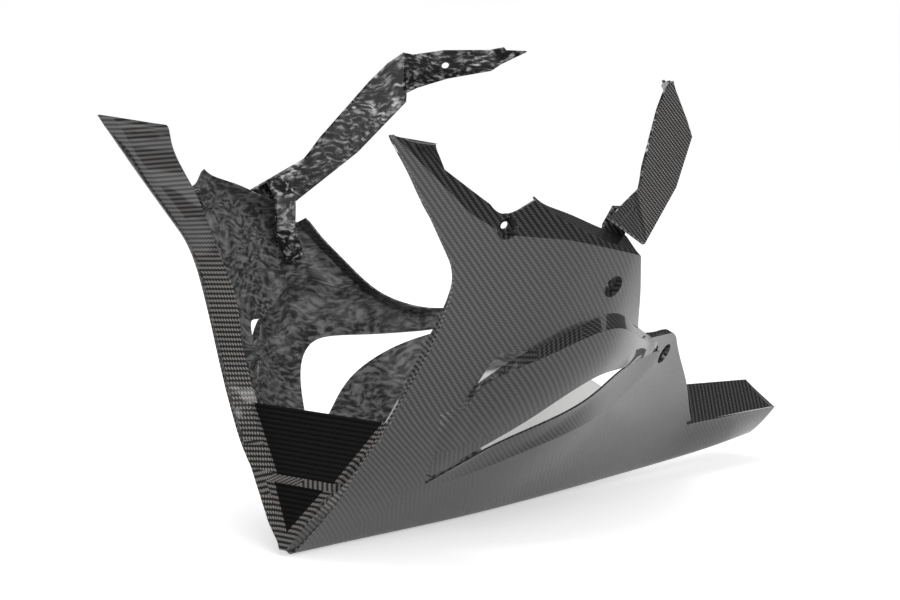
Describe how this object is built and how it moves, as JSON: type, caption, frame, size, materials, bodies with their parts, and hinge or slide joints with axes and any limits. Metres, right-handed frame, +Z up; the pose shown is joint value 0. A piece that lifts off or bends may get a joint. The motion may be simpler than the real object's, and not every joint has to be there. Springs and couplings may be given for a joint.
{
  "type": "motorcycle belly pan",
  "caption": "Carbon-fibre belly pan of a sports motorcycle: a bow-shaped tray with a V mouth, louvred side vents, a closed tail tray and curved side arms",
  "frame": {"origin": "on the middle plane, half way along the pan and level with the lowest point of its keel", "axes": "+X to the rear of the motorcycle, +Y to its right, +Z up"},
  "size_m": [0.671, 0.4053, 0.3947],
  "materials": {
    "carbon_shell": "clear-coated twill carbon outside, rough resin inside",
    "carbon_arm": "clear-coated twill carbon outside, rough resin inside"
  },
  "bodies": {
    "root": {"pan_shell": "carbon_shell", "arm_right": "carbon_arm", "arm_left": "carbon_arm"}
  },
  "joints": []
}
